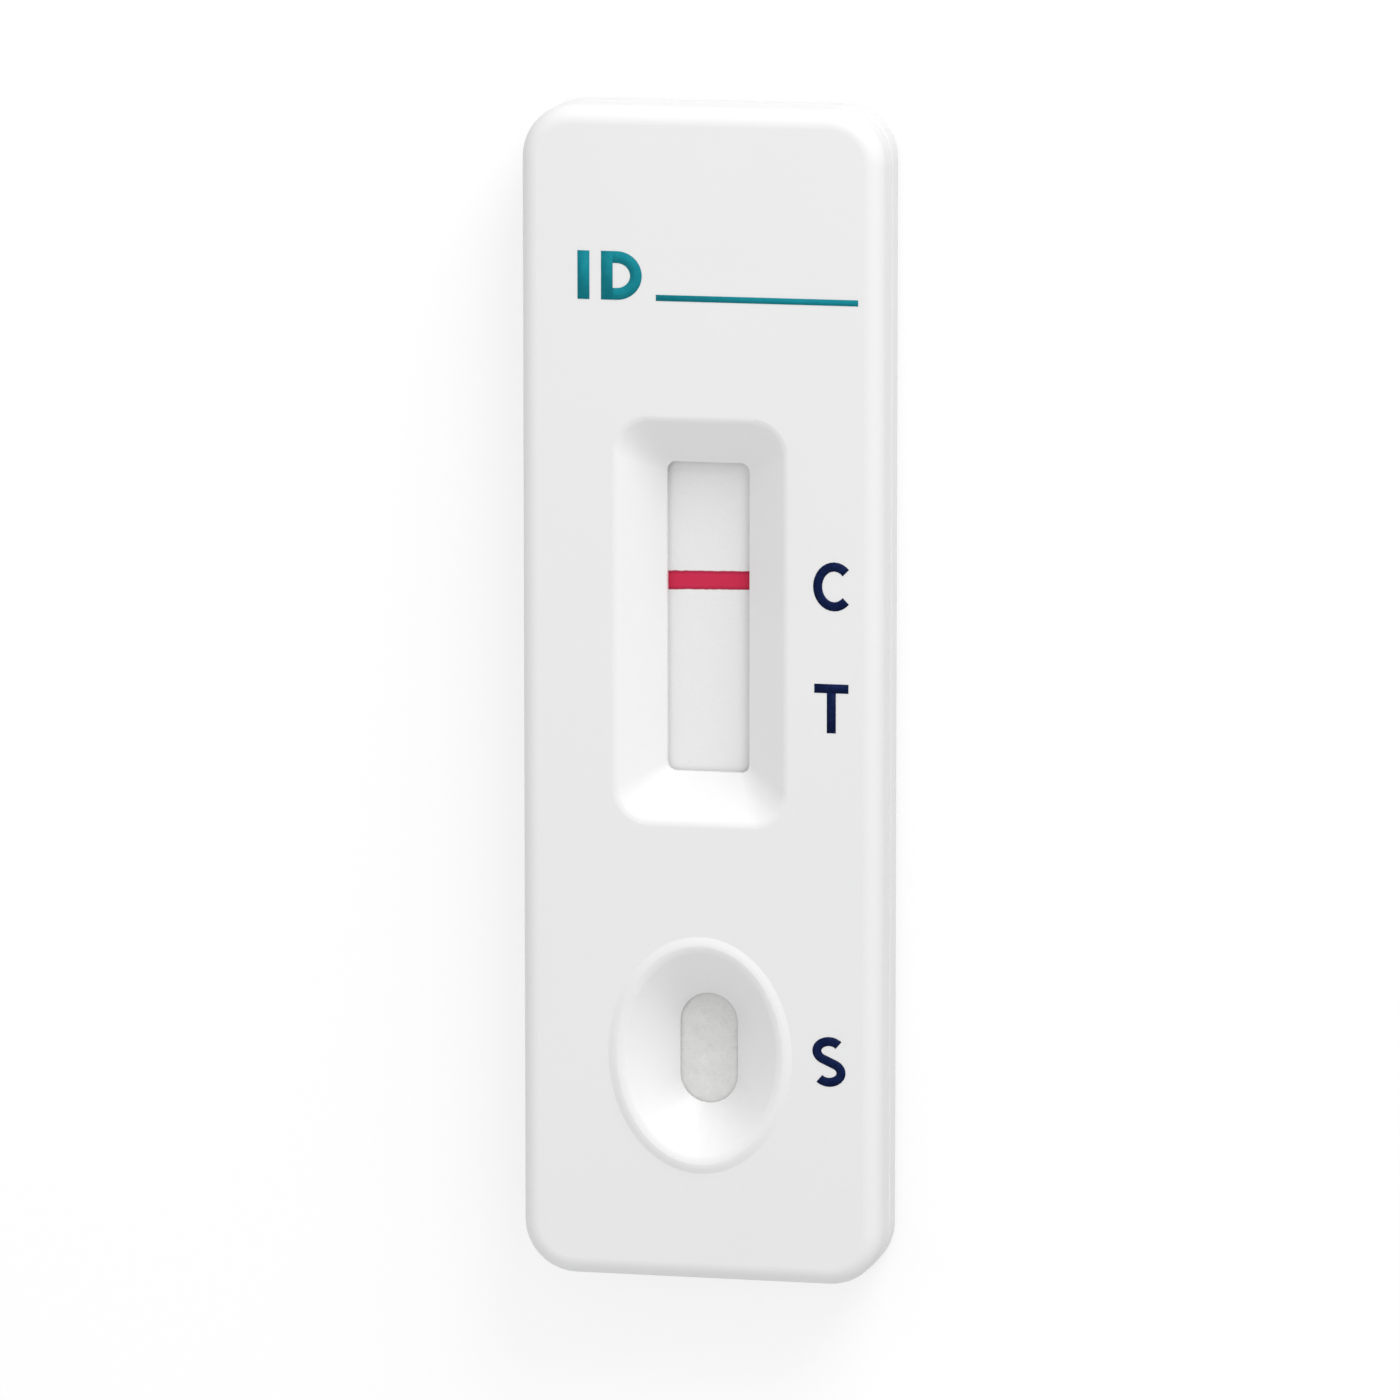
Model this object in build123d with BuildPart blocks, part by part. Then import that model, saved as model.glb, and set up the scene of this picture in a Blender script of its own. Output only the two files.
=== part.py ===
from build123d import *
from math import atan, degrees
import os

os.makedirs("parts", exist_ok=True)

# A lateral flow cassette: two moulded half shells that snap round a test strip.
# It lies on its back. X is across the case, Y runs along it from the sample well to the
# result window and on, and Z is up out of the face. The origin is at the middle of the base.
# All sizes are in millimetres.

# Case outline
case_length = 70.0
case_width = 21.8
case_thickness = 5.2
corner_radius = 3.2
face_edge_radius = 1.05
base_edge_radius = 0.7
draft_angle = 1.0

# Moulded walls, and the plane where the two shells meet
parting_height = 2.4
parting_bevel = 0.12
side_wall = 1.2
face_wall = 1.2
floor_wall = 1.1

# Tongue of the lower shell in the rebate of the upper shell
tongue_width = 0.5
tongue_height = 0.6
joint_clearance = 0.05

# Result window: a straight-sided opening at the foot of four planar slopes
window_y = 4.58
window_width = 5.0
window_length = 18.5
window_corner = 0.55
window_flare = 2.6
window_end_flare = 2.75
window_mouth_corner = 2.0
window_depth = 2.2
window_land = 0.4
window_wall = 1.0
window_mouth_rounding = 0.6

# Sample well: a stadium slot at the foot of an oval funnel with a raised rim
well_y = -21.33
slot_width = 3.5
slot_length = 6.65
slot_land = 0.1
well_flare = 3.02
well_wall = 1.0
rim_height = 0.14
rim_crest = 0.38
rim_slope_width = 0.42
rim_rounding = 0.65

# Six-sided pins of the upper shell, whose corners grip the round sockets of the lower shell
pin_columns = 2
pin_rows = 3
pin_row_inset = 7.25
pin_side_inset = 2.3
pin_radius = 0.8
pin_clearance = 0.04
pin_sides = 6
pin_engagement = 0.9
pin_tip_gap = 0.2
pin_tip_bevel = 0.2
socket_wall = 0.6

# Test strip: a backing card that carries the membrane and three pads
strip_end_inset = 5.0
strip_side_lap = 0.5
card_thickness = 0.3
membrane_thickness = 0.15
conjugate_thickness = 0.3
sample_thickness = 0.3
absorbent_thickness = 0.8
conjugate_lap = 1.4
sample_lap = 1.5
absorbent_lap = 1.5
lap_ramp = 0.4
well_setback = 0.6
conjugate_setback = 0.4
absorbent_setback = 1.2

# Trough of the lower shell that holds the strip, and bars of the upper shell that press it
strip_side_gap = 0.15
strip_end_gap = 0.2
strip_press_gap = 0.05
membrane_gap = 0.25
sample_gap = 0.12
rail_width = 0.8
rail_height = 0.4
bed_rib_width = 0.8
bed_rib_count = 11
bar_width = 0.8
absorbent_bar_count = 3
bar_side_lap = 0.4

# Heights worked out from the face downwards
face_z = case_thickness
crest_z = face_z + rim_height
ceiling_z = face_z - face_wall
window_lip_z = face_z - window_depth
window_foot_z = window_lip_z - window_land
membrane_top = window_foot_z - membrane_gap
card_top = membrane_top - membrane_thickness
bed_z = card_top - card_thickness
slot_foot_z = card_top + sample_thickness + sample_gap
slot_lip_z = slot_foot_z + slot_land
rail_top = bed_z + rail_height
tongue_top = parting_height + tongue_height
pin_tip_z = parting_height - pin_engagement

# Outline sizes worked out from the case and its walls
cavity_length = case_length - 2 * side_wall
cavity_width = case_width - 2 * side_wall
cavity_corner = corner_radius - side_wall
rebate_width = tongue_width + joint_clearance
strip_width = window_width + 2 * strip_side_lap
strip_length = case_length - 2 * strip_end_inset
trough_width = strip_width + 2 * strip_side_gap
trough_length = strip_length + 2 * strip_end_gap
socket_bore = pin_radius + pin_clearance
pin_spacing_x = (cavity_width - 2 * pin_side_inset) / (pin_columns - 1)
pin_spacing_y = (case_length - 2 * pin_row_inset) / (pin_rows - 1)

# Window and well outlines, and how far their walls lean out from the upright, in degrees
window_wall_width = window_width + 2 * window_wall
window_wall_length = window_length + 2 * window_wall
window_wall_flare = degrees(atan(window_flare / window_depth))
well_wall_flare = degrees(atan(well_flare / (crest_z - slot_lip_z)))
window_mouth_width = window_width + 2 * window_flare
window_mouth_length = window_length + 2 * window_end_flare
well_mouth_width = slot_width + 2 * well_flare
well_mouth_length = slot_length + 2 * well_flare
rim_top_width = well_mouth_width + 2 * rim_crest
rim_top_length = well_mouth_length + 2 * rim_crest
rim_foot_width = rim_top_width + 2 * rim_slope_width
rim_foot_length = rim_top_length + 2 * rim_slope_width

# Ends of each layer along the strip, from the well at one side to the far end at the other
strip_foot = -strip_length / 2
strip_head = strip_length / 2
conjugate_start = well_y + well_mouth_length / 2 + well_setback
sample_end = conjugate_start + sample_lap
conjugate_end = window_y - window_length / 2 - window_wall - conjugate_setback
membrane_start = conjugate_end - conjugate_lap
absorbent_start = window_y + window_length / 2 + window_wall + absorbent_setback
membrane_end = absorbent_start + absorbent_lap

# Bars over the pads
absorbent_bar_z = card_top + absorbent_thickness + strip_press_gap
conjugate_bar_z = card_top + conjugate_thickness + strip_press_gap
absorbent_bar_spacing = (strip_head - membrane_end) / absorbent_bar_count
bar_length = strip_width + 2 * bar_side_lap

window_place = Location((0, window_y))
well_place = Location((0, well_y))
pin_places = GridLocations(pin_spacing_x, pin_spacing_y, pin_columns, pin_rows).local_locations


def edges_inside(builder, height, centre_y, width, length):
    """Edges at one height whose middles lie in an upright rectangle of that width and length."""
    level = builder.edges().filter_by_position(Axis.Z, height, height)
    near = level.filter_by_position(Axis.X, -width / 2, width / 2)
    return near.filter_by_position(Axis.Y, centre_y - length / 2, centre_y + length / 2)


# Lower shell: tray with a tongue round its rim, sockets, and the trough for the strip
with BuildPart() as lower_shell:
    with BuildSketch(Plane.XY.offset(parting_height)):
        RectangleRounded(case_width, case_length, corner_radius)
    extrude(amount=-parting_height, taper=draft_angle)
    fillet(lower_shell.faces().sort_by(Axis.Z)[0].edges(), base_edge_radius)
    chamfer(lower_shell.faces().sort_by(Axis.Z)[-1].edges(), parting_bevel)

    with BuildSketch(Plane.XY.offset(parting_height)):
        RectangleRounded(
            cavity_width + 2 * tongue_width,
            cavity_length + 2 * tongue_width,
            cavity_corner + tongue_width,
        )
    extrude(amount=tongue_height)
    with BuildSketch(Plane.XY.offset(floor_wall)):
        RectangleRounded(cavity_width, cavity_length, cavity_corner)
    extrude(amount=tongue_top - floor_wall, mode=Mode.SUBTRACT)

    with BuildSketch(Plane.XY.offset(floor_wall)):
        with Locations(pin_places):
            Circle(socket_bore + socket_wall)
    extrude(amount=parting_height - floor_wall)

    with BuildSketch(Plane.XY.offset(floor_wall)):
        Rectangle(trough_width + 2 * rail_width, trough_length + 2 * rail_width)
        Rectangle(trough_width, trough_length, mode=Mode.SUBTRACT)
    extrude(amount=rail_top - floor_wall)
    with BuildSketch(Plane.XY.offset(floor_wall)):
        with GridLocations(0, (trough_length - bed_rib_width) / (bed_rib_count - 1), 1, bed_rib_count):
            Rectangle(trough_width, bed_rib_width)
    extrude(amount=bed_z - floor_wall)

    with Locations(Plane.XY.offset(parting_height)):
        with Locations(pin_places):
            Hole(socket_bore, depth=pin_engagement + pin_tip_gap)

lower_shell.part.label = "lower_shell"
export_step(lower_shell.part, "parts/lower_shell.step")


# Upper shell: cover with the window and the well sunk in its face
with BuildPart() as upper_shell:
    with BuildSketch(Plane.XY.offset(parting_height)):
        RectangleRounded(case_width, case_length, corner_radius)
    extrude(amount=face_z - parting_height, taper=draft_angle)
    fillet(upper_shell.faces().sort_by(Axis.Z)[-1].edges(), face_edge_radius)
    chamfer(upper_shell.faces().sort_by(Axis.Z)[0].edges(), parting_bevel)

    with BuildSketch(Plane.XY.offset(parting_height)):
        RectangleRounded(cavity_width, cavity_length, cavity_corner)
    extrude(amount=ceiling_z - parting_height, mode=Mode.SUBTRACT)
    with BuildSketch(Plane.XY.offset(parting_height)):
        RectangleRounded(
            cavity_width + 2 * rebate_width,
            cavity_length + 2 * rebate_width,
            cavity_corner + rebate_width,
        )
    extrude(amount=tongue_height + joint_clearance, mode=Mode.SUBTRACT)

    # Raised oval rim round the well
    with BuildSketch(Plane.XY.offset(face_z)):
        with Locations(well_place):
            Ellipse(rim_foot_width / 2, rim_foot_length / 2)
    with BuildSketch(Plane.XY.offset(crest_z)):
        with Locations(well_place):
            Ellipse(rim_top_width / 2, rim_top_length / 2)
    loft()

    # Walls that hang round the window and the well: upright at the foot, then flared like the
    # slopes that they carry
    with BuildSketch(Plane.XY.offset(window_foot_z)) as window_wall_outline:
        with Locations(window_place):
            RectangleRounded(window_wall_width, window_wall_length, window_corner + window_wall)
    extrude(amount=window_land)
    extrude(
        window_wall_outline.sketch.moved(Location((0, 0, window_land))),
        amount=ceiling_z - window_lip_z,
        taper=-window_wall_flare,
    )
    with BuildSketch(Plane.XY.offset(slot_foot_z)) as well_wall_outline:
        with Locations(well_place):
            SlotOverall(slot_length + 2 * well_wall, slot_width + 2 * well_wall, rotation=90)
    extrude(amount=slot_land)
    extrude(
        well_wall_outline.sketch.moved(Location((0, 0, slot_land))),
        amount=ceiling_z - slot_lip_z,
        taper=-well_wall_flare,
    )

    # Bars that press the pads down on the card
    with BuildSketch(Plane.XY.offset(absorbent_bar_z)):
        with Locations((0, (membrane_end + strip_head) / 2)):
            with GridLocations(0, absorbent_bar_spacing, 1, absorbent_bar_count):
                Rectangle(bar_length, bar_width)
    extrude(amount=ceiling_z - absorbent_bar_z)
    with BuildSketch(Plane.XY.offset(conjugate_bar_z)):
        with Locations((0, (sample_end + membrane_start) / 2)):
            Rectangle(bar_length, bar_width)
    extrude(amount=ceiling_z - conjugate_bar_z)

    # Pins
    with BuildSketch(Plane.XY.offset(pin_tip_z)):
        with Locations(pin_places):
            RegularPolygon(pin_radius, pin_sides)
    extrude(amount=ceiling_z - pin_tip_z)
    chamfer(upper_shell.edges().group_by(Axis.Z)[0], pin_tip_bevel)

    # Window: the opening with its upright land, then the four slopes down to it
    with BuildSketch(Plane.XY.offset(window_foot_z)):
        with Locations(window_place):
            RectangleRounded(window_width, window_length, window_corner)
    extrude(amount=face_z - window_foot_z, mode=Mode.SUBTRACT)
    with BuildSketch(Plane.XY.offset(window_lip_z)):
        with Locations(window_place):
            RectangleRounded(window_width, window_length, window_corner)
    with BuildSketch(Plane.XY.offset(face_z)):
        with Locations(window_place):
            RectangleRounded(window_mouth_width, window_mouth_length, window_mouth_corner)
    loft(mode=Mode.SUBTRACT)
    fillet(
        edges_inside(upper_shell, face_z, window_y, window_mouth_width, window_mouth_length),
        window_mouth_rounding,
    )

    # Well: the slot, then the oval funnel down to it, and a round crest on the rim
    with BuildSketch(Plane.XY.offset(slot_foot_z)):
        with Locations(well_place):
            SlotOverall(slot_length, slot_width, rotation=90)
    extrude(amount=crest_z - slot_foot_z, mode=Mode.SUBTRACT)
    with BuildSketch(Plane.XY.offset(slot_lip_z)):
        with Locations(well_place):
            SlotOverall(slot_length, slot_width, rotation=90)
    with BuildSketch(Plane.XY.offset(crest_z)):
        with Locations(well_place):
            Ellipse(well_mouth_width / 2, well_mouth_length / 2)
    loft(mode=Mode.SUBTRACT)
    fillet(edges_inside(upper_shell, crest_z, well_y, rim_top_width, rim_top_length), rim_rounding)

upper_shell.part.label = "upper_shell"
export_step(upper_shell.part, "parts/upper_shell.step")


# Backing card that carries the whole strip
with BuildPart() as backing_card:
    with BuildSketch(Plane.XY.offset(bed_z)):
        Rectangle(strip_width, strip_length)
    extrude(amount=card_thickness)

backing_card.part.label = "backing_card"
export_step(backing_card.part, "parts/backing_card.step")


# Nitrocellulose membrane under the window
with BuildPart() as membrane:
    with BuildSketch(Plane.XY.offset(card_top)):
        with Locations((0, (membrane_start + membrane_end) / 2)):
            Rectangle(strip_width, membrane_end - membrane_start)
    extrude(amount=membrane_thickness)

membrane.part.label = "membrane"
export_step(membrane.part, "parts/membrane.step")


def lapped_outline(far_end, step, lap_end, under_thickness, thickness):
    """Side outline of a pad that lies on the card and climbs onto the layer beside it."""
    ramp_start = step + (lap_ramp if far_end > step else -lap_ramp)
    step_top = card_top + under_thickness
    return [
        (far_end, card_top),
        (step, card_top),
        (step, step_top),
        (lap_end, step_top),
        (lap_end, step_top + thickness),
        (step, step_top + thickness),
        (ramp_start, card_top + thickness),
        (far_end, card_top + thickness),
    ]


# Conjugate pad, lapped over the near end of the membrane
with BuildPart() as conjugate_pad:
    with BuildSketch(Plane.YZ):
        with BuildLine():
            Polyline(
                lapped_outline(
                    conjugate_start, membrane_start, conjugate_end, membrane_thickness, conjugate_thickness
                ),
                close=True,
            )
        make_face()
    extrude(amount=strip_width / 2, both=True)

conjugate_pad.part.label = "conjugate_pad"
export_step(conjugate_pad.part, "parts/conjugate_pad.step")


# Sample pad under the well, lapped over the conjugate pad
with BuildPart() as sample_pad:
    with BuildSketch(Plane.YZ):
        with BuildLine():
            Polyline(
                lapped_outline(
                    strip_foot, conjugate_start, sample_end, conjugate_thickness, sample_thickness
                ),
                close=True,
            )
        make_face()
    extrude(amount=strip_width / 2, both=True)

sample_pad.part.label = "sample_pad"
export_step(sample_pad.part, "parts/sample_pad.step")


# Absorbent pad, lapped over the far end of the membrane
with BuildPart() as absorbent_pad:
    with BuildSketch(Plane.YZ):
        with BuildLine():
            Polyline(
                lapped_outline(
                    strip_head, membrane_end, absorbent_start, membrane_thickness, absorbent_thickness
                ),
                close=True,
            )
        make_face()
    extrude(amount=strip_width / 2, both=True)

absorbent_pad.part.label = "absorbent_pad"
export_step(absorbent_pad.part, "parts/absorbent_pad.step")
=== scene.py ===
import logging
import math
from dataclasses import dataclass
from enum import Enum

import bmesh
import bpy
from mathutils import Matrix, Vector


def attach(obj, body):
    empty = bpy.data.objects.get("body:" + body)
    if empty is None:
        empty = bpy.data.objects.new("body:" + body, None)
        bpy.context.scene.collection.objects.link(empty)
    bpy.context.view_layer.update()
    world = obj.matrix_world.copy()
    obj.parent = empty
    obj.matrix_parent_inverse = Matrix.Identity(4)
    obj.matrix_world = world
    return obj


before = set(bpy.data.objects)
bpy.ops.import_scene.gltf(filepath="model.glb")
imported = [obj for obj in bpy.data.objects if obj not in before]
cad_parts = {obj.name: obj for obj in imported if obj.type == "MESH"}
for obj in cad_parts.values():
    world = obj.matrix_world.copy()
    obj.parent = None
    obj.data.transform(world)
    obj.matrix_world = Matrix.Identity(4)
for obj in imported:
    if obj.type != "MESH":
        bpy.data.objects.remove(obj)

log = logging.getLogger("cassette")

MM = 0.001
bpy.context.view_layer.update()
BODY = "root"

# The colour sockets of a Mix node, which share their names with its plain ones.
MIX_A, MIX_B, MIX_RESULT = 6, 7, 2


def linear(hex_colour: str) -> tuple[float, float, float, float]:
    """Turns an sRGB hex colour to linear light.

    Args:
        hex_colour: Six hex digits after a hash, as a paint chart gives them.

    Returns:
        Linear red, green and blue, and an alpha of 1.
    """
    channels = [int(hex_colour[i:i + 2], 16) / 255 for i in (1, 3, 5)]
    light = [c / 12.92 if c <= 0.04045 else ((c + 0.055) / 1.055) ** 2.4 for c in channels]
    return (light[0], light[1], light[2], 1.0)


def per_metre(size_mm: float) -> float:
    """Turns the size of one cell of a pattern, in millimetres, to a texture's scale."""
    return 1 / (size_mm * MM)


def add_node(tree: bpy.types.NodeTree, kind: str, settings: dict | None = None,
             inputs: dict | None = None) -> bpy.types.Node:
    """Adds one shader node with its settings, its plain values and its links.

    Args:
        tree: The node tree that takes the node.
        kind: The node's type name, such as "ShaderNodeTexNoise".
        settings: Properties of the node, by name.
        inputs: Values or output sockets for its inputs, by socket name or number.

    Returns:
        The new node.
    """
    node = tree.nodes.new(kind)
    for name, value in (settings or {}).items():
        setattr(node, name, value)
    for name, value in (inputs or {}).items():
        if isinstance(value, bpy.types.NodeSocket):
            tree.links.new(value, node.inputs[name])
        else:
            node.inputs[name].default_value = value
    return node


def seen_directly(tree: bpy.types.NodeTree) -> bpy.types.NodeSocket:
    """Tells the rays that show a background from the rays that only light the object.

    Args:
        tree: The node tree of the background's material or of the world.

    Returns:
        A value of 1 for rays straight from the camera, in a reflection or through glass.
    """
    rays = add_node(tree, "ShaderNodeLightPath").outputs
    straight = add_node(tree, "ShaderNodeMath", {"operation": "MAXIMUM"}, {
        0: rays["Is Camera Ray"], 1: rays["Is Transmission Ray"]})
    seen = add_node(tree, "ShaderNodeMath", {"operation": "MAXIMUM"}, {
        0: straight.outputs["Value"], 1: rays["Is Glossy Ray"]})
    return seen.outputs["Value"]


@dataclass(frozen=True)
class Finish:
    """What each finish starts from: a named material that holds one shader.

    Attributes:
        name: The material's name, after what the real one is.
    """

    name: str

    def start(self, settings: dict) -> tuple[bpy.types.Material, bpy.types.Node,
                                             bpy.types.NodeSocket]:
        """Makes a material with a Principled shader at its output.

        Args:
            settings: Values of the shader's own sockets, by name.

        Returns:
            The material, its shader and the object's own coordinates.
        """
        material = bpy.data.materials.new(self.name)
        material.use_nodes = True
        tree = material.node_tree
        tree.nodes.clear()
        shader = add_node(tree, "ShaderNodeBsdfPrincipled", inputs=settings)
        add_node(tree, "ShaderNodeOutputMaterial", inputs={"Surface": shader.outputs["BSDF"]})
        place = add_node(tree, "ShaderNodeTexCoord").outputs["Object"]
        return material, shader, place


@dataclass(frozen=True)
class MouldedPolystyrene(Finish):
    """High-impact polystyrene, injection moulded in a finely spark-eroded steel tool.

    To the eye it is a clean cold white with a soft satin gloss. The tool leaves a fine even
    grain, the melt leaves faint broad clouds of tone, and the thin walls sink by a few
    microns as they cool, so that a reflection wavers a little.
    """

    name: str = "moulded_polystyrene"
    colour: str = "#F0F0F0"
    flow_colour: str = "#EDEDED"
    flow_size: float = 11.0          # mm, clouds in the melt
    grain_size: float = 0.16         # mm; the real grain of 0.03 mm is drawn coarser, to show
    grain_height: float = 0.0016     # mm
    sink_size: float = 6.0           # mm
    sink_height: float = 0.012       # mm
    polish_size: float = 2.2         # mm, patches where the tool was polished more or less
    roughness: tuple[float, float] = (0.36, 0.48)

    def make(self) -> bpy.types.Material:
        """Makes the material.

        Returns:
            The material, ready to be put on a shell.
        """
        material, shader, place = self.start({
            "IOR": 1.59,
            "Subsurface Weight": 0.12,
            "Subsurface Radius": (1.0, 0.95, 0.9),
            "Subsurface Scale": 0.5 * MM,
        })
        tree = material.node_tree
        flow = add_node(tree, "ShaderNodeTexNoise", inputs={
            "Vector": place, "Scale": per_metre(self.flow_size), "Detail": 2.0})
        tone = add_node(tree, "ShaderNodeMix", {"data_type": "RGBA"}, {
            "Factor": flow.outputs["Fac"],
            MIX_A: linear(self.colour), MIX_B: linear(self.flow_colour)})
        polish = add_node(tree, "ShaderNodeTexNoise", inputs={
            "Vector": place, "Scale": per_metre(self.polish_size), "Detail": 3.0})
        gloss = add_node(tree, "ShaderNodeMapRange", inputs={
            "Value": polish.outputs["Fac"],
            "To Min": self.roughness[0], "To Max": self.roughness[1]})
        sink = add_node(tree, "ShaderNodeTexNoise", inputs={
            "Vector": place, "Scale": per_metre(self.sink_size), "Detail": 1.0})
        sunk = add_node(tree, "ShaderNodeBump", inputs={
            "Distance": self.sink_height * MM, "Height": sink.outputs["Fac"]})
        grain = add_node(tree, "ShaderNodeTexNoise", inputs={
            "Vector": place, "Scale": per_metre(self.grain_size), "Detail": 2.0})
        grained = add_node(tree, "ShaderNodeBump", inputs={
            "Distance": self.grain_height * MM,
            "Height": grain.outputs["Fac"], "Normal": sunk.outputs["Normal"]})
        tree.links.new(tone.outputs[MIX_RESULT], shader.inputs["Base Color"])
        tree.links.new(gloss.outputs["Result"], shader.inputs["Roughness"])
        tree.links.new(grained.outputs["Normal"], shader.inputs["Normal"])
        return material


@dataclass(frozen=True)
class VinylCard(Finish):
    """White vinyl card, calendered between steel rolls, with a skin of clear adhesive.

    To the eye it is a smooth, slightly warm white with faint lines along the way that the
    sheet was rolled.
    """

    name: str = "calendered_vinyl_card"
    colour: str = "#EEEEEC"
    streak_colour: str = "#E6E6E3"
    streak_width: float = 0.25       # mm
    streak_length: float = 8.0       # mm, along the strip
    streak_height: float = 0.002     # mm

    def make(self) -> bpy.types.Material:
        """Makes the material.

        Returns:
            The material, ready to be put on the backing card.
        """
        material, shader, place = self.start({"Roughness": 0.4, "IOR": 1.53})
        tree = material.node_tree
        drawn = add_node(tree, "ShaderNodeMapping", inputs={
            "Vector": place,
            "Scale": (1.0, self.streak_width / self.streak_length, 1.0)})
        streak = add_node(tree, "ShaderNodeTexNoise", inputs={
            "Vector": drawn.outputs["Vector"], "Scale": per_metre(self.streak_width),
            "Detail": 2.0})
        tone = add_node(tree, "ShaderNodeMix", {"data_type": "RGBA"}, {
            "Factor": streak.outputs["Fac"],
            MIX_A: linear(self.colour), MIX_B: linear(self.streak_colour)})
        rolled = add_node(tree, "ShaderNodeBump", inputs={
            "Distance": self.streak_height * MM, "Height": streak.outputs["Fac"]})
        tree.links.new(tone.outputs[MIX_RESULT], shader.inputs["Base Color"])
        tree.links.new(rolled.outputs["Normal"], shader.inputs["Normal"])
        return material


@dataclass(frozen=True)
class Nitrocellulose(Finish):
    """Nitrocellulose membrane, cast as a foam on film, with the control line dyed into it.

    To the eye it is dead matt and chalk white, with a fine open grain. The dye of the line
    was laid down by a moving nozzle and caught by the foam, so its edges are a little soft
    and uneven, and it is fullest where the nozzle turned it out along its two edges.

    Attributes:
        line_y: Where the middle of the control line lies along the case, in mm.
        line_width: How wide the line is along the case, in mm.
        line_slant: How far the line climbs for each mm across the case, in mm.
    """

    name: str = "cast_nitrocellulose"
    colour: str = "#F6F6F6"
    pore_colour: str = "#EFEFEF"
    line_colour: str = "#D62F55"
    edge_colour: str = "#B32245"
    line_y: float = 6.71
    line_width: float = 1.12
    line_slant: float = 0.022
    line_blur: float = 0.04          # mm, over which the line's edge fades
    line_waver: float = 0.04         # mm, by which the edge wanders
    edge_start: float = 0.55         # share of the half width where the fuller dye starts
    waver_size: float = 0.35         # mm
    pore_size: float = 0.12          # mm; real pores of 0.01 mm are drawn coarser, to show
    pore_height: float = 0.006       # mm

    def make(self) -> bpy.types.Material:
        """Makes the material.

        Returns:
            The material, ready to be put on the membrane.
        """
        material, shader, place = self.start({
            "Roughness": 0.92, "IOR": 1.5, "Specular IOR Level": 0.3, "Diffuse Roughness": 0.6})
        tree = material.node_tree
        pores = add_node(tree, "ShaderNodeTexNoise", inputs={
            "Vector": place, "Scale": per_metre(self.pore_size), "Detail": 3.0})
        chalk = add_node(tree, "ShaderNodeMix", {"data_type": "RGBA"}, {
            "Factor": pores.outputs["Fac"],
            MIX_A: linear(self.colour), MIX_B: linear(self.pore_colour)})
        waver = add_node(tree, "ShaderNodeTexNoise", inputs={
            "Vector": place, "Scale": per_metre(self.waver_size), "Detail": 2.0})
        wander = add_node(tree, "ShaderNodeMapRange", inputs={
            "Value": waver.outputs["Fac"],
            "To Min": -self.line_waver * MM, "To Max": self.line_waver * MM})
        along = add_node(tree, "ShaderNodeSeparateXYZ", inputs={"Vector": place})
        level = add_node(tree, "ShaderNodeMath", {"operation": "MULTIPLY_ADD"}, {
            0: along.outputs["X"], 1: -self.line_slant, 2: along.outputs["Y"]})
        moved = add_node(tree, "ShaderNodeMath", {"operation": "ADD"}, {
            0: level.outputs["Value"], 1: wander.outputs["Result"]})
        offset = add_node(tree, "ShaderNodeMath", {"operation": "SUBTRACT"}, {
            0: moved.outputs["Value"], 1: self.line_y * MM})
        distance = add_node(tree, "ShaderNodeMath", {"operation": "ABSOLUTE"}, {
            0: offset.outputs["Value"]})
        half = self.line_width / 2
        dyed = add_node(tree, "ShaderNodeMapRange", {"interpolation_type": "SMOOTHSTEP"}, {
            "Value": distance.outputs["Value"],
            "From Min": (half + self.line_blur) * MM, "From Max": (half - self.line_blur) * MM})
        full = add_node(tree, "ShaderNodeMapRange", {"interpolation_type": "SMOOTHSTEP"}, {
            "Value": distance.outputs["Value"],
            "From Min": half * self.edge_start * MM, "From Max": half * MM})
        dye = add_node(tree, "ShaderNodeMix", {"data_type": "RGBA"}, {
            "Factor": full.outputs["Result"],
            MIX_A: linear(self.line_colour), MIX_B: linear(self.edge_colour)})
        tone = add_node(tree, "ShaderNodeMix", {"data_type": "RGBA"}, {
            "Factor": dyed.outputs["Result"],
            MIX_A: chalk.outputs[MIX_RESULT], MIX_B: dye.outputs[MIX_RESULT]})
        foam = add_node(tree, "ShaderNodeBump", inputs={
            "Distance": self.pore_height * MM, "Height": pores.outputs["Fac"]})
        tree.links.new(tone.outputs[MIX_RESULT], shader.inputs["Base Color"])
        tree.links.new(foam.outputs["Normal"], shader.inputs["Normal"])
        return material


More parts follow.
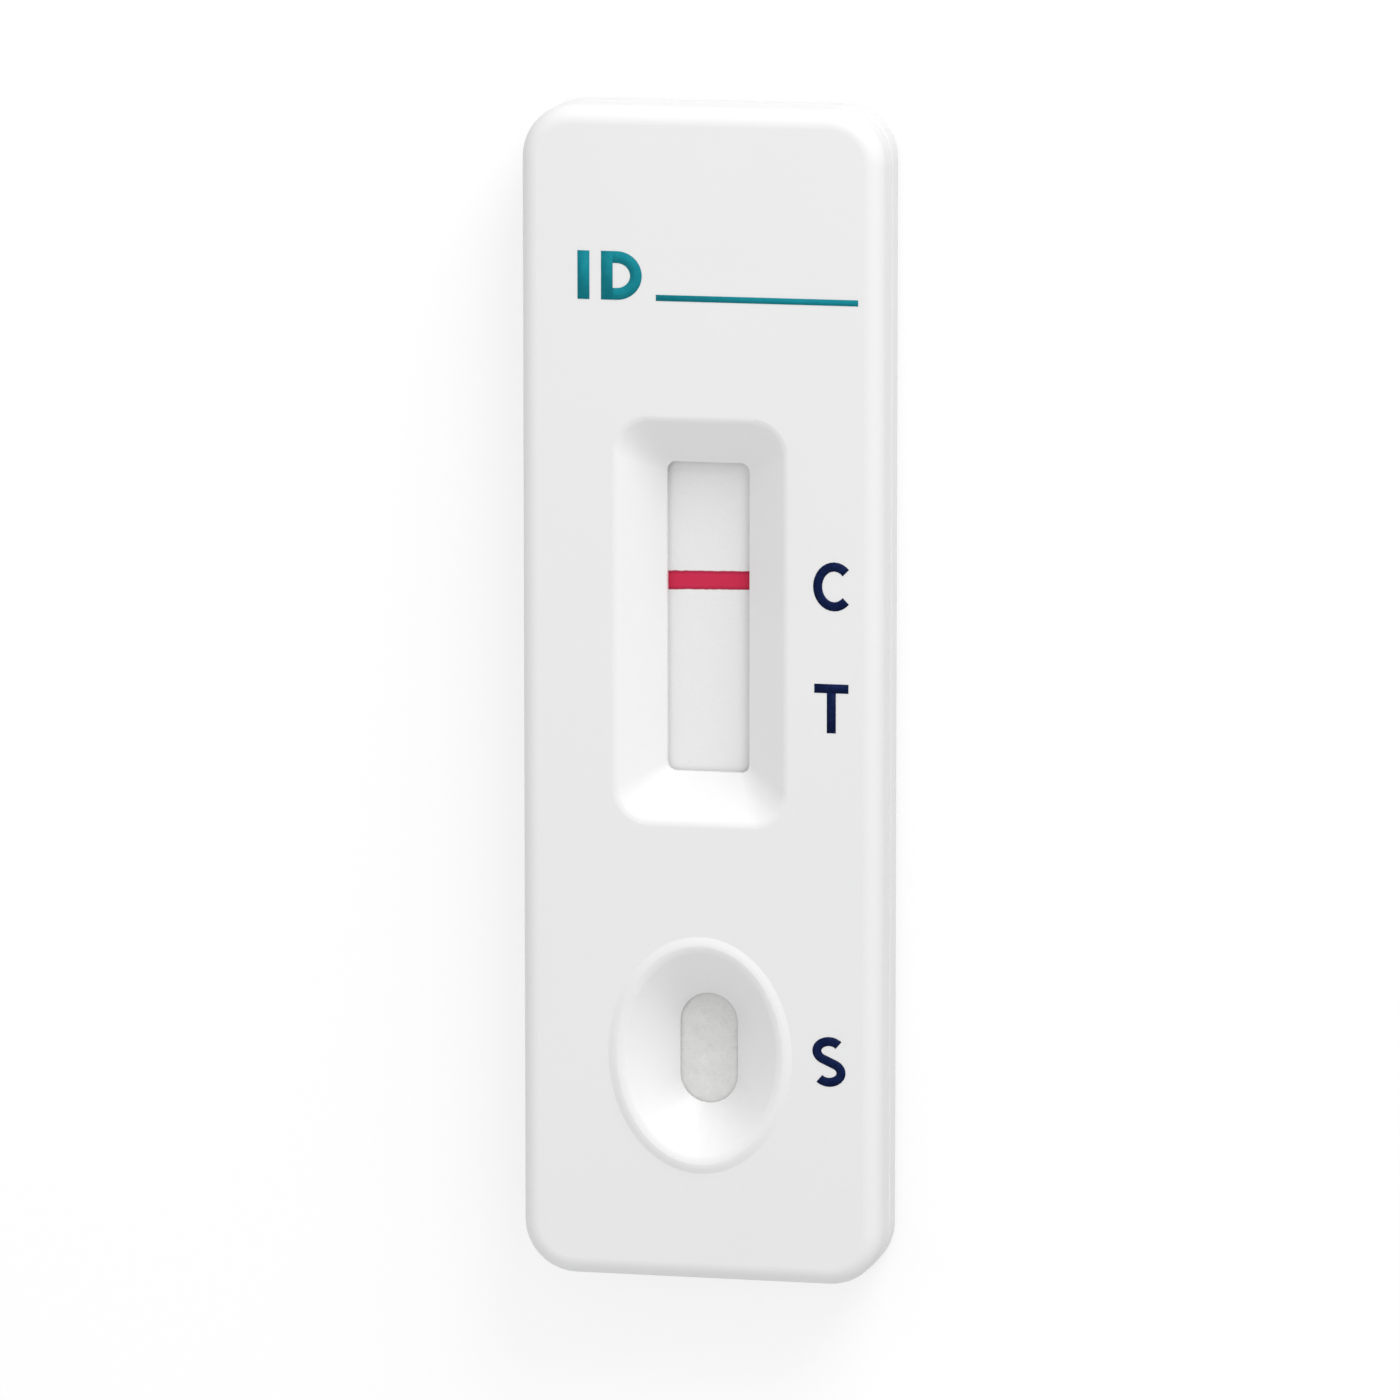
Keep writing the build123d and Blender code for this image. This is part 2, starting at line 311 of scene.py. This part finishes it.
@dataclass(frozen=True)
class FibrePad(Finish):
    """A soft pad of felted fibres, laid wet like paper and cut to width with a blade.

    To the eye it is matt and a little fluffy, with short fibres lying every way in its face
    and a mottle where they lie thicker.

    Attributes:
        colour: The fibres themselves.
        shade_colour: The gaps between them.
    """

    name: str = "felted_cellulose"
    colour: str = "#EFEFEE"
    shade_colour: str = "#E3E3E2"
    fibre_width: float = 0.09        # mm; a real fibre of 0.02 mm is drawn wider, to show
    fibre_length: float = 0.9        # mm
    fibre_height: float = 0.012      # mm
    fibre_turns: tuple[float, ...] = (25, 85, 145)    # degrees, the ways that fibres lie
    mottle_size: float = 0.8         # mm
    mottle_weight: float = 0.4       # against the fibres
    tone_range: tuple[float, float] = (0.35, 0.8)     # weights of the gaps and the fibres

    def make(self) -> bpy.types.Material:
        """Makes the material.

        Returns:
            The material, ready to be put on a pad.
        """
        material, shader, place = self.start({
            "Roughness": 0.95, "IOR": 1.47, "Specular IOR Level": 0.25, "Diffuse Roughness": 0.8,
            "Sheen Weight": 0.15, "Sheen Roughness": 0.6})
        tree = material.node_tree
        layers = []
        for turn in self.fibre_turns:
            laid = add_node(tree, "ShaderNodeMapping", inputs={
                "Vector": place, "Rotation": (0.0, 0.0, math.radians(turn))})
            stretched = add_node(tree, "ShaderNodeMapping", inputs={
                "Vector": laid.outputs["Vector"],
                "Scale": (1.0, self.fibre_width / self.fibre_length, 1.0)})
            layer = add_node(tree, "ShaderNodeTexNoise", inputs={
                "Vector": stretched.outputs["Vector"], "Scale": per_metre(self.fibre_width),
                "Detail": 1.0, "Distortion": 0.3})
            layers.append(layer.outputs["Fac"])
        lower = add_node(tree, "ShaderNodeMath", {"operation": "MAXIMUM"}, {
            0: layers[0], 1: layers[1]})
        felt = add_node(tree, "ShaderNodeMath", {"operation": "MAXIMUM"}, {
            0: lower.outputs["Value"], 1: layers[2]})
        mottle = add_node(tree, "ShaderNodeTexNoise", inputs={
            "Vector": place, "Scale": per_metre(self.mottle_size), "Detail": 2.0})
        thick = add_node(tree, "ShaderNodeMath", {"operation": "MULTIPLY_ADD"}, {
            0: mottle.outputs["Fac"], 1: self.mottle_weight, 2: -self.mottle_weight / 2})
        weight = add_node(tree, "ShaderNodeMath", {"operation": "ADD"}, {
            0: felt.outputs["Value"], 1: thick.outputs["Value"]})
        light = add_node(tree, "ShaderNodeMapRange", inputs={
            "Value": weight.outputs["Value"],
            "From Min": self.tone_range[0], "From Max": self.tone_range[1]})
        tone = add_node(tree, "ShaderNodeMix", {"data_type": "RGBA"}, {
            "Factor": light.outputs["Result"],
            MIX_A: linear(self.shade_colour), MIX_B: linear(self.colour)})
        nap = add_node(tree, "ShaderNodeBump", inputs={
            "Distance": self.fibre_height * MM, "Height": weight.outputs["Value"]})
        tree.links.new(tone.outputs[MIX_RESULT], shader.inputs["Base Color"])
        tree.links.new(nap.outputs["Normal"], shader.inputs["Normal"])
        return material


@dataclass(frozen=True)
class PadPrintInk(Finish):
    """Two-part ink, pad-printed on the finished shell and baked.

    To the eye it is a thin dense film with a low sheen. The silicone pad leaves it a touch
    thinner in places, which shows as a faint mottle of tone and gloss.
    """

    name: str
    colour: str
    thin_colour: str
    mottle_size: float = 0.3         # mm
    film_height: float = 0.002       # mm
    thin_range: tuple[float, float] = (0.45, 0.8)     # of the mottle, where the film thins
    roughness: tuple[float, float] = (0.45, 0.6)

    def make(self) -> bpy.types.Material:
        """Makes the material.

        Returns:
            The material, ready to be put on a printed mark.
        """
        material, shader, place = self.start({"IOR": 1.48, "Specular IOR Level": 0.06})
        tree = material.node_tree
        mottle = add_node(tree, "ShaderNodeTexNoise", inputs={
            "Vector": place, "Scale": per_metre(self.mottle_size), "Detail": 3.0})
        thin = add_node(tree, "ShaderNodeMapRange", inputs={
            "Value": mottle.outputs["Fac"],
            "From Min": self.thin_range[0], "From Max": self.thin_range[1]})
        tone = add_node(tree, "ShaderNodeMix", {"data_type": "RGBA"}, {
            "Factor": thin.outputs["Result"],
            MIX_A: linear(self.colour), MIX_B: linear(self.thin_colour)})
        gloss = add_node(tree, "ShaderNodeMapRange", inputs={
            "Value": mottle.outputs["Fac"],
            "To Min": self.roughness[0], "To Max": self.roughness[1]})
        film = add_node(tree, "ShaderNodeBump", inputs={
            "Distance": self.film_height * MM, "Height": mottle.outputs["Fac"]})
        tree.links.new(tone.outputs[MIX_RESULT], shader.inputs["Base Color"])
        tree.links.new(gloss.outputs["Result"], shader.inputs["Roughness"])
        tree.links.new(film.outputs["Normal"], shader.inputs["Normal"])
        return material


@dataclass(frozen=True)
class StudioPaper(Finish):
    """Matt white background paper off a wide roll.

    To the eye it is an even white with no edge. A plain lift for the camera's own rays
    brings it to the white of the page, and it keeps the shadow that falls on it.
    """

    name: str = "background_paper"
    colour: str = "#ADADAD"
    fibre_colour: str = "#ABABAB"
    fibre_size: float = 0.6          # mm
    lift: float = 0.62

    def make(self) -> bpy.types.Material:
        """Makes the material.

        Returns:
            The material, ready to be put on the floor.
        """
        material, shader, place = self.start({
            "Roughness": 0.9, "Specular IOR Level": 0.2, "Emission Color": (1, 1, 1, 1)})
        tree = material.node_tree
        fibre = add_node(tree, "ShaderNodeTexNoise", inputs={
            "Vector": place, "Scale": per_metre(self.fibre_size), "Detail": 3.0})
        tone = add_node(tree, "ShaderNodeMix", {"data_type": "RGBA"}, {
            "Factor": fibre.outputs["Fac"],
            MIX_A: linear(self.colour), MIX_B: linear(self.fibre_colour)})
        lifted = add_node(tree, "ShaderNodeMath", {"operation": "MULTIPLY"}, {
            0: seen_directly(tree), 1: self.lift})
        tree.links.new(tone.outputs[MIX_RESULT], shader.inputs["Base Color"])
        tree.links.new(lifted.outputs["Value"], shader.inputs["Emission Strength"])
        return material


class Ink(Enum):
    """The two inks on the face, each with a slot name and its finish."""

    NAVY = ("ink_navy", PadPrintInk("navy_pad_print_ink", "#09173E", "#12234F"))
    TEAL = ("ink_teal", PadPrintInk("teal_pad_print_ink", "#14828F", "#1E8995"))

    @property
    def slot(self) -> str:
        """The slot name kept with this ink."""
        return self.value[0]

    @property
    def finish(self) -> PadPrintInk:
        """The finish of this ink."""
        return self.value[1]


@dataclass
class Casing:
    """The two moulded half shells, which are the CAD model's own solids."""

    shells: tuple[str, ...] = ("lower_shell", "upper_shell")
    plastic: MouldedPolystyrene = MouldedPolystyrene()

    def dress(self) -> None:
        """Puts the moulded plastic on both shells."""
        material = self.plastic.make()
        for name in self.shells:
            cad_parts[name].data.materials[0] = material
            log.info("%s dressed in %s", name, material.name)


@dataclass
class TestStrip:
    """The strip between the shells: a card that carries the membrane and three pads."""

    card: VinylCard = VinylCard()
    membrane: Nitrocellulose = Nitrocellulose()
    plain_pad: FibrePad = FibrePad()
    dyed_pad: FibrePad = FibrePad("dyed_glass_fibre", "#CDA6B2", "#B98A99", 0.06, 1.4)

    def dress(self) -> None:
        """Puts each layer's own material on it."""
        cellulose = self.plain_pad.make()
        layers = {
            "backing_card": self.card.make(),
            "membrane": self.membrane.make(),
            "conjugate_pad": self.dyed_pad.make(),
            "sample_pad": cellulose,
            "absorbent_pad": cellulose,
        }
        for name, material in layers.items():
            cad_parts[name].data.materials[0] = material
            log.info("%s dressed in %s", name, material.name)


Path = list[tuple[float, float]]


def arc(centre: tuple[float, float], radii: tuple[float, float], start: float,
        end: float, steps: int = 24) -> Path:
    """Walks along part of an ellipse.

    Args:
        centre: Its middle.
        radii: Its half width and half height.
        start: The angle to start from, in degrees against the clock from +X.
        end: The angle to end at; below start, the walk goes with the clock.
        steps: How many steps the walk takes.

    Returns:
        The points of the walk, both ends among them.
    """
    angles = [math.radians(start + (end - start) * i / steps) for i in range(steps + 1)]
    return [(centre[0] + radii[0] * math.cos(a), centre[1] + radii[1] * math.sin(a))
            for a in angles]


@dataclass(frozen=True)
class Letter:
    """One plain letter drawn in a single even stroke, about its own middle, in mm.

    Attributes:
        width: From its left edge to its right edge.
        height: From its foot to its top.
        stroke: How wide the stroke is.
    """

    width: float
    height: float
    stroke: float

    def paths(self) -> list[Path]:
        """Says where the middle of the stroke runs; each kind of letter has its own."""
        raise NotImplementedError


@dataclass(frozen=True)
class LetterC(Letter):
    """A round C with its ends cut square to the stroke."""

    mouth: float = 45.0              # degrees, from the middle of the mouth to each end

    def paths(self) -> list[Path]:
        """Says where the middle of the stroke runs."""
        reach = self.width / (1 + math.cos(math.radians(self.mouth)))
        radii = (reach - self.stroke / 2, (self.height - self.stroke) / 2)
        return [arc((reach - self.width / 2, 0.0), radii, self.mouth, 360 - self.mouth)]


@dataclass(frozen=True)
class LetterS(Letter):
    """An S of two arcs with a straight sloping spine between them."""

    mouth: float = 38.0              # degrees, from the level to each end
    spine: float = 30.0              # degrees, by which the spine slopes

    def paths(self) -> list[Path]:
        """Says where the middle of the stroke runs."""
        slope = math.radians(self.spine)
        lift = (math.cos(slope) + math.tan(slope) * math.sin(slope))
        radii = ((self.width - self.stroke) / 2, (self.height - self.stroke) / 2 / (1 + lift))
        middle = radii[1] * lift
        upper = arc((0.0, middle), radii, self.mouth, 270 - self.spine)
        lower = arc((0.0, -middle), radii, 90 - self.spine, self.mouth - 180)
        return [upper + lower]


@dataclass(frozen=True)
class LetterT(Letter):
    """A T whose stem starts under its bar."""

    def paths(self) -> list[Path]:
        """Says where the middle of the stroke runs."""
        side, top = self.width / 2, self.height / 2
        bar = top - self.stroke / 2
        return [[(-side, bar), (side, bar)], [(0.0, top - self.stroke), (0.0, -top)]]


@dataclass(frozen=True)
class LetterI(Letter):
    """An I without serifs."""

    def paths(self) -> list[Path]:
        """Says where the middle of the stroke runs."""
        return [[(0.0, self.height / 2), (0.0, -self.height / 2)]]


@dataclass(frozen=True)
class LetterD(Letter):
    """A D whose bowl starts at the right of its stem."""

    flat: float = 0.1                # share of the width over which the bowl runs level

    def paths(self) -> list[Path]:
        """Says where the middle of the stroke runs."""
        side, top = self.width / 2, self.height / 2
        stem = self.stroke / 2 - side
        turn = self.stroke + self.flat * self.width - side
        radii = (side - self.stroke / 2 - turn, top - self.stroke / 2)
        bowl = arc((turn, 0.0), radii, 90, -90)
        joined = [(self.stroke - side, radii[1])] + bowl + [(self.stroke - side, -radii[1])]
        return [[(stem, top), (stem, -top)], joined]


@dataclass(frozen=True)
class EntryLine(Letter):
    """A plain level line to write on, at the foot of its box."""

    def paths(self) -> list[Path]:
        """Says where the middle of the stroke runs."""
        level = (self.stroke - self.height) / 2
        return [[(-self.width / 2, level), (self.width / 2, level)]]


@dataclass(frozen=True)
class PrintedMark:
    """One mark printed on the face.

    Attributes:
        name: The piece's name.
        letter: What is printed.
        centre: Its middle on the face, across and along the case, in mm.
        ink: The ink.
    """

    name: str
    letter: Letter
    centre: tuple[float, float]
    ink: Ink


@dataclass
class FaceMarks:
    """The print on the face: the letters beside the window and the well, and an entry line.

    The title's place holds a plain ID with a line to write on, in the title's teal.
    """

    film: float = 0.012              # mm, how far the ink stands off the face
    sunk: float = 0.01               # mm, how far its underside is set into the face
    weld: float = 0.001              # mm, within which two corners of a stroke are one
    marks: tuple[PrintedMark, ...] = (
        PrintedMark("letter_control", LetterC(2.15, 2.90, 0.54), (7.87, 7.00), Ink.NAVY),
        PrintedMark("letter_test", LetterT(2.05, 2.92, 0.54), (7.90, -0.24), Ink.NAVY),
        PrintedMark("letter_sample", LetterS(2.00, 2.99, 0.54), (7.80, -21.37), Ink.NAVY),
        PrintedMark("entry_letter_i", LetterI(0.72, 2.87, 0.72), (-7.0, 25.02), Ink.TEAL),
        PrintedMark("entry_letter_d", LetterD(2.45, 2.87, 0.70), (-4.72, 25.02), Ink.TEAL),
        PrintedMark("entry_line", EntryLine(12.1, 2.87, 0.36), (3.4, 25.02), Ink.TEAL),
    )

    def flat_strokes(self, letter: Letter) -> bmesh.types.BMesh:
        """Draws a letter with a flat pen.

        Args:
            letter: The letter to draw.

        Returns:
            Its strokes as flat ribbons about the letter's middle, in metres.
        """
        pen = bpy.data.curves.new("pen", "CURVE")
        nib = pen.splines.new("POLY")
        nib.points.add(1)
        half = letter.stroke / 2 * MM
        nib.points[0].co = (-half, 0.0, 0.0, 1.0)
        nib.points[1].co = (half, 0.0, 0.0, 1.0)
        pen_object = bpy.data.objects.new("pen", pen)
        drawn = bpy.data.curves.new("drawn", "CURVE")
        drawn.dimensions = "2D"
        drawn.bevel_mode = "OBJECT"
        drawn.bevel_object = pen_object
        for path in letter.paths():
            line = drawn.splines.new("POLY")
            line.points.add(len(path) - 1)
            for point, (x, y) in zip(line.points, path):
                point.co = (x * MM, y * MM, 0.0, 1.0)
        drawn_object = bpy.data.objects.new("drawn", drawn)
        for thing in (pen_object, drawn_object):
            bpy.context.scene.collection.objects.link(thing)
        bpy.context.view_layer.update()
        graph = bpy.context.evaluated_depsgraph_get()
        flat = bpy.data.meshes.new_from_object(drawn_object.evaluated_get(graph))
        shape = bmesh.new()
        shape.from_mesh(flat)
        bpy.data.meshes.remove(flat)
        for thing, curve in ((drawn_object, drawn), (pen_object, pen)):
            bpy.data.objects.remove(thing)
            bpy.data.curves.remove(curve)
        return shape

    def face_height(self, x: float, y: float) -> float:
        """Finds how high the face of the upper shell lies.

        Args:
            x: Place across the case, in metres.
            y: Place along the case, in metres.

        Returns:
            The face's height there, in metres.
        """
        graph = bpy.context.evaluated_depsgraph_get()
        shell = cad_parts["upper_shell"].evaluated_get(graph)
        hit, place, _, _ = shell.ray_cast(Vector((x, y, 1.0)), Vector((0.0, 0.0, -1.0)))
        if not hit:
            raise ValueError(f"no face under the mark at {x}, {y}")
        return place.z

    def print_on_face(self, mark: PrintedMark, material: bpy.types.Material) -> bpy.types.Object:
        """Draws a mark, gives it the thickness of the ink and sets it on the face.

        Args:
            mark: The mark to print.
            material: The ink's material.

        Returns:
            The new piece.
        """
        shape = self.flat_strokes(mark.letter)
        bmesh.ops.remove_doubles(shape, verts=shape.verts, dist=self.weld * MM)
        x, y = mark.centre[0] * MM, mark.centre[1] * MM
        under = self.face_height(x, y) - self.sunk * MM
        bmesh.ops.translate(shape, verts=shape.verts, vec=(x, y, under))
        raised = bmesh.ops.extrude_face_region(shape, geom=shape.faces[:])
        top = [part for part in raised["geom"] if isinstance(part, bmesh.types.BMVert)]
        bmesh.ops.translate(shape, verts=top, vec=(0.0, 0.0, (self.film + self.sunk) * MM))
        bmesh.ops.recalc_face_normals(shape, faces=shape.faces)
        mesh = bpy.data.meshes.new(mark.name)
        shape.to_mesh(mesh)
        shape.free()
        mesh.materials.append(material)
        piece = bpy.data.objects.new(mark.name, mesh)
        bpy.context.scene.collection.objects.link(piece)
        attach(piece, BODY)
        log.info("%s printed, %d faces", mark.name, len(mesh.polygons))
        return piece

    def build(self) -> None:
        """Prints each mark on the face."""
        inks = {ink: ink.finish.make() for ink in Ink}
        for mark in self.marks:
            self.print_on_face(mark, inks[mark.ink])


@dataclass
class Studio:
    """The floor, the light and the camera.

    The cassette lies on its back, and the camera looks down on its face from the photo's
    angle. One large soft key stands past the window's end and to the right, low over the
    face, in a room of even white light.
    """

    paper: StudioPaper = StudioPaper()
    floor_side: float = 3.0                                   # m
    floor_drop: float = 0.01                                  # mm
    room_light: float = 0.74
    key_towards: tuple[float, float, float] = (0.43, 0.82, 0.38)
    key_distance: float = 0.5                                 # m
    key_side: float = 0.32                                    # m
    key_power: float = 1.43                                   # W
    camera_azimuth: float = 12.6                              # degrees, towards +X
    camera_rise: float = 9.3                                  # degrees, towards +Y
    camera_distance: float = 0.621                            # m
    camera_aim: tuple[float, float, float] = (0.0, 0.0, 0.0052)
    lens: float = 271.3                                       # mm
    sensor: float = 36.0                                      # mm
    clip: tuple[float, float] = (0.01, 20.0)                  # m

    def lay_floor(self) -> None:
        """Lays the paper floor just under the case."""
        shape = bmesh.new()
        bmesh.ops.create_grid(shape, x_segments=8, y_segments=8, size=self.floor_side / 2)
        bmesh.ops.translate(shape, verts=shape.verts, vec=(0.0, 0.0, -self.floor_drop * MM))
        mesh = bpy.data.meshes.new("floor")
        shape.to_mesh(mesh)
        shape.free()
        mesh.materials.append(self.paper.make())
        floor = bpy.data.objects.new("floor", mesh)
        bpy.context.scene.collection.objects.link(floor)
        log.info("floor laid")

    def light_room(self) -> None:
        """Lights the room evenly, white to the camera and a little under that to the part."""
        world = bpy.data.worlds.new("studio")
        world.use_nodes = True
        tree = world.node_tree
        tree.nodes.clear()
        strength = add_node(tree, "ShaderNodeMapRange", inputs={
            "Value": seen_directly(tree), "To Min": self.room_light, "To Max": 1.0})
        room = add_node(tree, "ShaderNodeBackground", inputs={
            "Color": (1, 1, 1, 1), "Strength": strength.outputs["Result"]})
        add_node(tree, "ShaderNodeOutputWorld", inputs={"Surface": room.outputs["Background"]})
        bpy.context.scene.world = world
        log.info("room lit")

    def hang_key(self) -> None:
        """Hangs the soft key light and turns it to the case."""
        lamp = bpy.data.lights.new("key", "AREA")
        lamp.shape = "DISK"
        lamp.size = self.key_side
        lamp.energy = self.key_power
        key = bpy.data.objects.new("key", lamp)
        towards = Vector(self.key_towards).normalized()
        turn = towards.to_track_quat("Z", "Y").to_matrix().to_4x4()
        key.matrix_world = Matrix.Translation(towards * self.key_distance) @ turn
        bpy.context.scene.collection.objects.link(key)
        log.info("key light hung")

    def set_camera(self) -> None:
        """Sets the camera at the photo's angle over the face."""
        lens = bpy.data.cameras.new("camera")
        lens.lens = self.lens
        lens.sensor_width = self.sensor
        lens.clip_start, lens.clip_end = self.clip
        azimuth, rise = math.radians(self.camera_azimuth), math.radians(self.camera_rise)
        back = Vector((math.sin(azimuth) * math.cos(rise), math.sin(rise),
                       math.cos(azimuth) * math.cos(rise)))
        right = Vector((0.0, 1.0, 0.0)).cross(back).normalized()
        up = back.cross(right)
        turn = Matrix((right, up, back)).transposed().to_4x4()
        camera = bpy.data.objects.new("camera", lens)
        camera.matrix_world = Matrix.Translation(
            Vector(self.camera_aim) + back * self.camera_distance) @ turn
        bpy.context.scene.collection.objects.link(camera)
        bpy.context.scene.camera = camera
        log.info("camera set")

    def build(self) -> None:
        """Builds the whole set."""
        bpy.context.scene.view_settings.view_transform = "Standard"
        self.lay_floor()
        self.light_room()
        self.hang_key()
        self.set_camera()


def main() -> None:
    """Dresses the casing and the strip, prints the face and sets the studio round it."""
    logging.basicConfig(level=logging.INFO, format="%(name)s: %(message)s")
    Casing().dress()
    TestStrip().dress()
    FaceMarks().build()
    Studio().build()


if __name__ == "__main__":
    main()
